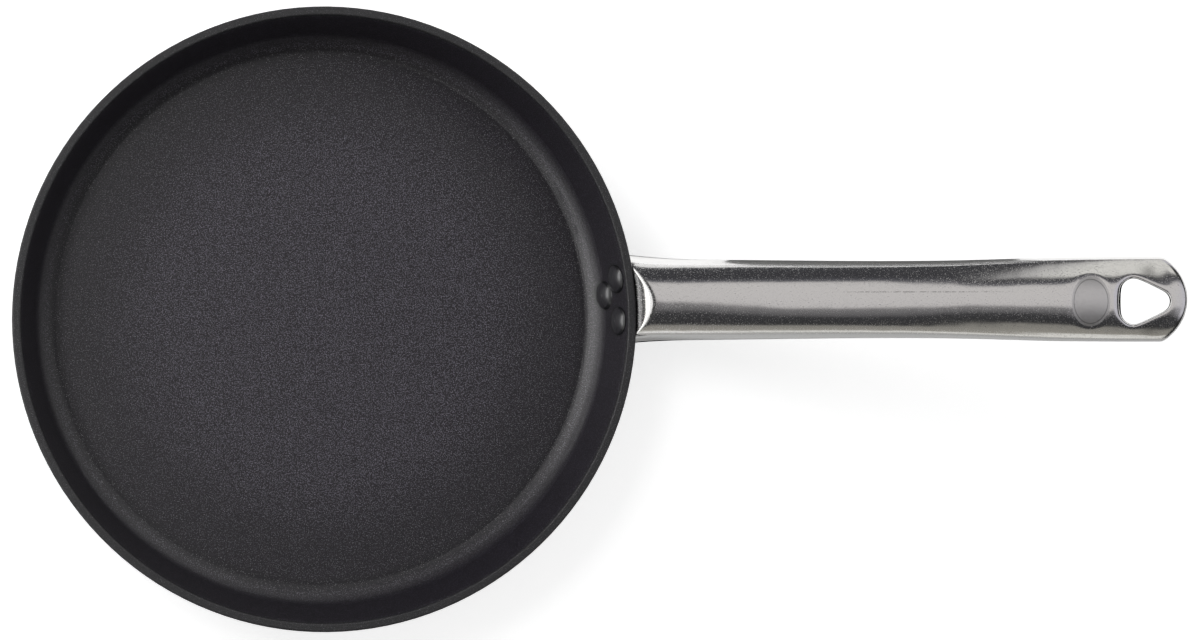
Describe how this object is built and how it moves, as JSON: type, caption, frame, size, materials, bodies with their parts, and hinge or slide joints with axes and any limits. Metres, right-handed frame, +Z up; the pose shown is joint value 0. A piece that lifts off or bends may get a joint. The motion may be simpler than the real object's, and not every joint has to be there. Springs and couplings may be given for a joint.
{
  "type": "crepe pan",
  "caption": "Low round crepe pan with a speckled dark non-stick coat inside and a long hollow steel handle, riveted on, with a hanging hole.",
  "frame": {"origin": "centre of the base, on the surface that the pan stands on", "axes": "+X from the pan towards the handle's tip, +Z up"},
  "size_m": [0.4373, 0.2396, 0.1103],
  "materials": {
    "pan_metal": "spun satin",
    "nonstick_coat": "baked non-stick coat, near black with a fine pale speckle",
    "handle_steel": "polished stainless steel with a fine lengthwise grain",
    "rivet_metal": "satin, heads coated dark grey"
  },
  "bodies": {
    "root": {"pan_body": "pan_metal", "nonstick_coating": "nonstick_coat", "handle": "handle_steel", "rivet_upper_left": "rivet_metal", "rivet_upper_right": "rivet_metal", "rivet_lower": "rivet_metal"}
  },
  "joints": []
}
